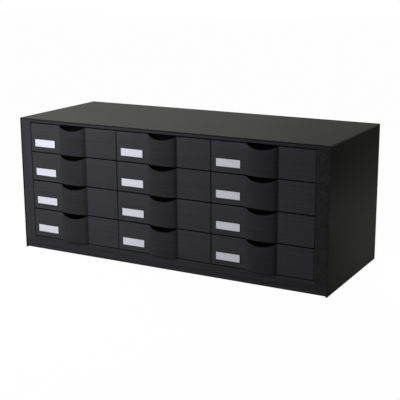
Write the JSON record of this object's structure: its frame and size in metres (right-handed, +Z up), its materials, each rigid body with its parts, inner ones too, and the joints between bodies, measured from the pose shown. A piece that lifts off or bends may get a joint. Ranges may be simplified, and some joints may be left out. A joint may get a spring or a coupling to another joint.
{
  "type": "scrapbook paper storage drawers",
  "caption": "Low wide cabinet of flat drawers for craft paper, each drawer with a bowed hollow finger pull and a white label card.",
  "frame": {"origin": "centre of the overall box at floor level", "axes": "+X to the right seen from the front, +Y to the back, +Z up"},
  "size_m": [1.072, 0.4255, 0.436],
  "materials": {
    "case_foil": "black wood-grain foil on board, satin",
    "top_foil": "black wood-grain foil on board, satin, darker matt edge",
    "inner_board": "black coated board, matt",
    "back_board": "dark painted hardboard, matt",
    "front_plastic": "black moulded plastic with a printed wood grain, satin",
    "tray_plastic": "black moulded plastic, fine texture",
    "runner_plastic": "black extruded plastic, smooth",
    "card": "white card, plain",
    "screw_steel": "zinc plated"
  },
  "bodies": {
    "case": {"top_cover": "top_foil", "top_board": "case_foil", "bottom_board": "case_foil", "left_side": "case_foil", "right_side": "case_foil", "left_stile": "case_foil", "right_stile": "case_foil", "back_panel": "back_board", "plinth_rail": "case_foil", "rear_rail": "case_foil", "back_panel_screws": "screw_steel", "upright_1": "inner_board", "upright_2": "inner_board", "upright_3": "inner_board", "upright_4": "inner_board", "runners_column_1": "runner_plastic", "runners_column_2": "runner_plastic", "runners_column_3": "runner_plastic"},
    "drawer_01": {"drawer_01_tray": "tray_plastic", "drawer_01_front": "front_plastic", "drawer_01_label_card": "card"},
    "drawer_02": {"drawer_02_tray": "tray_plastic", "drawer_02_front": "front_plastic", "drawer_02_label_card": "card"},
    "drawer_03": {"drawer_03_tray": "tray_plastic", "drawer_03_front": "front_plastic", "drawer_03_label_card": "card"},
    "drawer_04": {"drawer_04_tray": "tray_plastic", "drawer_04_front": "front_plastic", "drawer_04_label_card": "card"},
    "drawer_05": {"drawer_05_tray": "tray_plastic", "drawer_05_front": "front_plastic", "drawer_05_label_card": "card"},
    "drawer_06": {"drawer_06_tray": "tray_plastic", "drawer_06_front": "front_plastic", "drawer_06_label_card": "card"},
    "drawer_07": {"drawer_07_tray": "tray_plastic", "drawer_07_front": "front_plastic", "drawer_07_label_card": "card"},
    "drawer_08": {"drawer_08_tray": "tray_plastic", "drawer_08_front": "front_plastic", "drawer_08_label_card": "card"},
    "drawer_09": {"drawer_09_tray": "tray_plastic", "drawer_09_front": "front_plastic", "drawer_09_label_card": "card"},
    "drawer_10": {"drawer_10_tray": "tray_plastic", "drawer_10_front": "front_plastic", "drawer_10_label_card": "card"},
    "drawer_11": {"drawer_11_tray": "tray_plastic", "drawer_11_front": "front_plastic", "drawer_11_label_card": "card"},
    "drawer_12": {"drawer_12_tray": "tray_plastic", "drawer_12_front": "front_plastic", "drawer_12_label_card": "card"}
  },
  "joints": [
    {"name": "drawer_01_slide", "type": "slide", "parent": "case", "child": "drawer_01", "axis": [0, -1, 0], "range_m": [0, 0.29]},
    {"name": "drawer_02_slide", "type": "slide", "parent": "case", "child": "drawer_02", "axis": [0, -1, 0], "range_m": [0, 0.29]},
    {"name": "drawer_03_slide", "type": "slide", "parent": "case", "child": "drawer_03", "axis": [0, -1, 0], "range_m": [0, 0.29]},
    {"name": "drawer_04_slide", "type": "slide", "parent": "case", "child": "drawer_04", "axis": [0, -1, 0], "range_m": [0, 0.29]},
    {"name": "drawer_05_slide", "type": "slide", "parent": "case", "child": "drawer_05", "axis": [0, -1, 0], "range_m": [0, 0.29]},
    {"name": "drawer_06_slide", "type": "slide", "parent": "case", "child": "drawer_06", "axis": [0, -1, 0], "range_m": [0, 0.29]},
    {"name": "drawer_07_slide", "type": "slide", "parent": "case", "child": "drawer_07", "axis": [0, -1, 0], "range_m": [0, 0.29]},
    {"name": "drawer_08_slide", "type": "slide", "parent": "case", "child": "drawer_08", "axis": [0, -1, 0], "range_m": [0, 0.29]},
    {"name": "drawer_09_slide", "type": "slide", "parent": "case", "child": "drawer_09", "axis": [0, -1, 0], "range_m": [0, 0.29]},
    {"name": "drawer_10_slide", "type": "slide", "parent": "case", "child": "drawer_10", "axis": [0, -1, 0], "range_m": [0, 0.29]},
    {"name": "drawer_11_slide", "type": "slide", "parent": "case", "child": "drawer_11", "axis": [0, -1, 0], "range_m": [0, 0.29]},
    {"name": "drawer_12_slide", "type": "slide", "parent": "case", "child": "drawer_12", "axis": [0, -1, 0], "range_m": [0, 0.29]}
  ]
}
